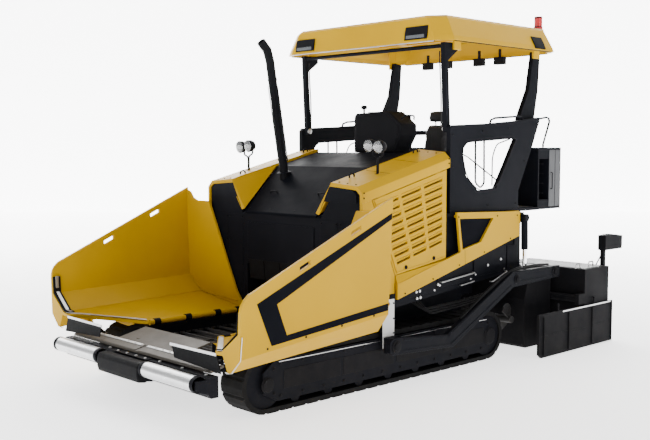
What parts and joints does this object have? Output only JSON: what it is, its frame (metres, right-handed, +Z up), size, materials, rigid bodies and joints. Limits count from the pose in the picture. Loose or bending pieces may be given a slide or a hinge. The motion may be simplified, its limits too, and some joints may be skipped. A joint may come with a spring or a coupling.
{
  "type": "asphalt paver",
  "caption": "Tracked asphalt paver with a tipping-wing hopper, operator's roof, spreading augers and a sliding screed behind.",
  "frame": {"origin": "on the ground, under the middle of the machine's length and width", "axes": "+Z up, -Y toward the hopper at the machine's front, +X toward the machine's left side"},
  "size_m": [3.392, 6.53, 4.0603],
  "materials": {
    "yellow_paint": "semi-gloss yellow machine paint",
    "black_paint": "semi-gloss black paint",
    "grey_paint": "matt brown-grey paint",
    "dark_steel": "dark worn steel",
    "bright_steel": "bright turned steel",
    "track_rubber": "rubber-padded track shoes",
    "seat_cover": "black seat cover",
    "red_lens": "red lens"
  },
  "bodies": {
    "chassis": {"main_frame": "black_paint", "engine_block": "dark_steel", "conveyor": "dark_steel", "track_left": "track_rubber", "track_right": "track_rubber", "track_frame_left": "black_paint", "track_frame_right": "black_paint", "front_apron": "grey_paint", "engine_cover_left": "yellow_paint", "engine_cover_right": "yellow_paint", "hood": "black_paint", "hopper_rear_wall": "black_paint", "side_cover_left": "yellow_paint", "side_cover_right": "yellow_paint", "platform": "black_paint", "side_frame_left": "black_paint", "side_frame_right": "black_paint", "locker_left": "black_paint", "locker_right": "black_paint", "exhaust_stack": "black_paint"},
    "wing_left": {"hopper_wing_left": "yellow_paint"},
    "wing_right": {"hopper_wing_right": "yellow_paint"},
    "wing_barrel_left": {"wing_cylinder_left": "black_paint"},
    "wing_barrel_right": {"wing_cylinder_right": "black_paint"},
    "wing_piston_left": {"wing_rod_left": "bright_steel"},
    "wing_piston_right": {"wing_rod_right": "bright_steel"},
    "beam": {"push_beam": "black_paint"},
    "roller_left": {"push_roller_left": "bright_steel"},
    "roller_right": {"push_roller_right": "bright_steel"},
    "grille_left": {"grille_door_left": "yellow_paint"},
    "grille_right": {"grille_door_right": "yellow_paint"},
    "dashboard": {"console": "black_paint"},
    "left_seat": {"seat_left": "seat_cover"},
    "right_seat": {"seat_right": "seat_cover"},
    "rear_arms": {"roof_rear_frame": "black_paint"},
    "front_posts": {"roof_front_frame": "black_paint"},
    "roof": {"roof_canopy": "yellow_paint", "beacon": "red_lens"},
    "screw_left": {"auger_left": "dark_steel"},
    "screw_right": {"auger_right": "dark_steel"},
    "tow_points": {"tow_point_left": "black_paint", "tow_point_right": "black_paint"},
    "screed": {"tow_arm_left": "black_paint", "tow_arm_right": "black_paint", "screed_main": "dark_steel"},
    "extension_left": {"screed_extension_left": "dark_steel", "control_box_left": "black_paint"},
    "extension_right": {"screed_extension_right": "dark_steel", "control_box_right": "black_paint"},
    "gate_left": {"end_gate_left": "black_paint"},
    "gate_right": {"end_gate_right": "black_paint"},
    "lift_barrel_left": {"lift_cylinder_left": "black_paint"},
    "lift_barrel_right": {"lift_cylinder_right": "black_paint"},
    "lift_piston_left": {"lift_rod_left": "bright_steel"},
    "lift_piston_right": {"lift_rod_right": "bright_steel"}
  },
  "joints": [
    {"name": "wing_left_fold", "type": "hinge", "parent": "chassis", "child": "wing_left", "pos_m": [0.6, -2, 0.62], "axis": [0, -1, 0], "range_deg": [0, 50]},
    {"name": "wing_right_fold", "type": "hinge", "parent": "chassis", "child": "wing_right", "pos_m": [-0.6, -2, 0.62], "axis": [0, 1, 0], "range_deg": [0, 50]},
    {"name": "wing_barrel_left_pivot", "type": "hinge", "parent": "chassis", "child": "wing_barrel_left", "pos_m": [0.62, -2.815, 0.37], "axis": [0, -1, 0], "range_deg": [0, 42]},
    {"name": "wing_barrel_right_pivot", "type": "hinge", "parent": "chassis", "child": "wing_barrel_right", "pos_m": [-0.62, -2.815, 0.37], "axis": [0, 1, 0], "range_deg": [0, 42]},
    {"name": "wing_piston_left_slide", "type": "slide", "parent": "wing_barrel_left", "child": "wing_piston_left", "axis": [0.9509, 0, 0.3094], "range_m": [0, 0.18]},
    {"name": "wing_piston_right_slide", "type": "slide", "parent": "wing_barrel_right", "child": "wing_piston_right", "axis": [-0.9509, 0, 0.3094], "range_m": [0, 0.18]},
    {"name": "beam_swing", "type": "hinge", "parent": "chassis", "child": "beam", "pos_m": [0, -2.93, 0.46], "axis": [0, 0, 1], "range_deg": [-4, 4]},
    {"name": "roller_left_spin", "type": "hinge", "parent": "beam", "child": "roller_left", "pos_m": [0.805, -3.192, 0.405], "axis": [1, 0, 0], "continuous": true},
    {"name": "roller_right_spin", "type": "hinge", "parent": "beam", "child": "roller_right", "pos_m": [-0.805, -3.192, 0.405], "axis": [1, 0, 0], "continuous": true},
    {"name": "grille_left_open", "type": "hinge", "parent": "chassis", "child": "grille_left", "pos_m": [1.275, -1.06, 1.93575], "axis": [0, -0.9701, -0.2425], "range_deg": [0, 75]},
    {"name": "grille_right_open", "type": "hinge", "parent": "chassis", "child": "grille_right", "pos_m": [-1.275, -1.06, 1.93575], "axis": [0, 0.9701, 0.2425], "range_deg": [0, 75]},
    {"name": "console_slide", "type": "slide", "parent": "chassis", "child": "dashboard", "axis": [1, 0, 0], "range_m": [-0.35, 0.35]},
    {"name": "seat_left_slide", "type": "slide", "parent": "chassis", "child": "left_seat", "axis": [1, 0, 0], "range_m": [0, 0.4]},
    {"name": "seat_right_slide", "type": "slide", "parent": "chassis", "child": "right_seat", "axis": [-1, 0, 0], "range_m": [0, 0.4]},
    {"name": "roof_fold", "type": "hinge", "parent": "chassis", "child": "rear_arms", "pos_m": [0, 1.8, 2.665], "axis": [-1, 0, 0], "range_deg": [0, 60]},
    {"name": "roof_level", "type": "hinge", "parent": "rear_arms", "child": "roof", "pos_m": [0, 1.91, 3.575], "axis": [-1, 0, 0], "range_deg": [-61, 1]},
    {"name": "front_posts_fold", "type": "hinge", "parent": "chassis", "child": "front_posts", "pos_m": [0, 0.275, 2.665], "axis": [-1, 0, 0], "range_deg": [-1, 61]},
    {"name": "auger_left_spin", "type": "hinge", "parent": "chassis", "child": "screw_left", "pos_m": [0.07, 1.43, 0.4], "axis": [1, 0, 0], "continuous": true},
    {"name": "auger_right_spin", "type": "hinge", "parent": "chassis", "child": "screw_right", "pos_m": [-0.07, 1.43, 0.4], "axis": [1, 0, 0], "continuous": true},
    {"name": "tow_point_level", "type": "slide", "parent": "chassis", "child": "tow_points", "axis": [0, 0, 1], "range_m": [0, 0.15]},
    {"name": "screed_lift", "type": "hinge", "parent": "tow_points", "child": "screed", "pos_m": [0, -0.855, 0.43], "axis": [1, 0, 0], "range_deg": [0, 6]},
    {"name": "extension_left_slide", "type": "slide", "parent": "screed", "child": "extension_left", "axis": [1, 0, 0], "range_m": [-0.39, 0.8]},
    {"name": "extension_right_slide", "type": "slide", "parent": "screed", "child": "extension_right", "axis": [-1, 0, 0], "range_m": [-0.39, 0.8]},
    {"name": "gate_left_lift", "type": "slide", "parent": "extension_left", "child": "gate_left", "axis": [0, 0, 1], "range_m": [0, 0.15]},
    {"name": "gate_right_lift", "type": "slide", "parent": "extension_right", "child": "gate_right", "axis": [0, 0, 1], "range_m": [0, 0.15]},
    {"name": "lift_barrel_left_pivot", "type": "hinge", "parent": "chassis", "child": "lift_barrel_left", "pos_m": [1.32, 1.515, 1.63], "axis": [-1, 0, 0], "range_deg": [0, 9]},
    {"name": "lift_barrel_right_pivot", "type": "hinge", "parent": "chassis", "child": "lift_barrel_right", "pos_m": [-1.32, 1.515, 1.63], "axis": [-1, 0, 0], "range_deg": [0, 9]},
    {"name": "lift_piston_left_slide", "type": "slide", "parent": "lift_barrel_left", "child": "lift_piston_left", "axis": [0, -0.0298, 0.9996], "range_m": [0, 0.25]},
    {"name": "lift_piston_right_slide", "type": "slide", "parent": "lift_barrel_right", "child": "lift_piston_right", "axis": [0, -0.0298, 0.9996], "range_m": [0, 0.25]}
  ],
  "couplings": [
    {"joint": "wing_barrel_left_pivot", "follows": "wing_left_fold", "ratio": 0.8192},
    {"joint": "wing_barrel_right_pivot", "follows": "wing_right_fold", "ratio": 0.8192},
    {"joint": "wing_piston_left_slide", "follows": "wing_left_fold", "m_per_rad": 0.2022},
    {"joint": "wing_piston_right_slide", "follows": "wing_right_fold", "m_per_rad": 0.2022},
    {"joint": "roof_level", "follows": "roof_fold", "ratio": -1},
    {"joint": "front_posts_fold", "follows": "roof_fold", "ratio": 1},
    {"joint": "lift_barrel_left_pivot", "follows": "screed_lift", "ratio": 1.3747},
    {"joint": "lift_barrel_right_pivot", "follows": "screed_lift", "ratio": 1.3747},
    {"joint": "lift_piston_left_slide", "follows": "screed_lift", "m_per_rad": 2.3343},
    {"joint": "lift_piston_right_slide", "follows": "screed_lift", "m_per_rad": 2.3343}
  ]
}
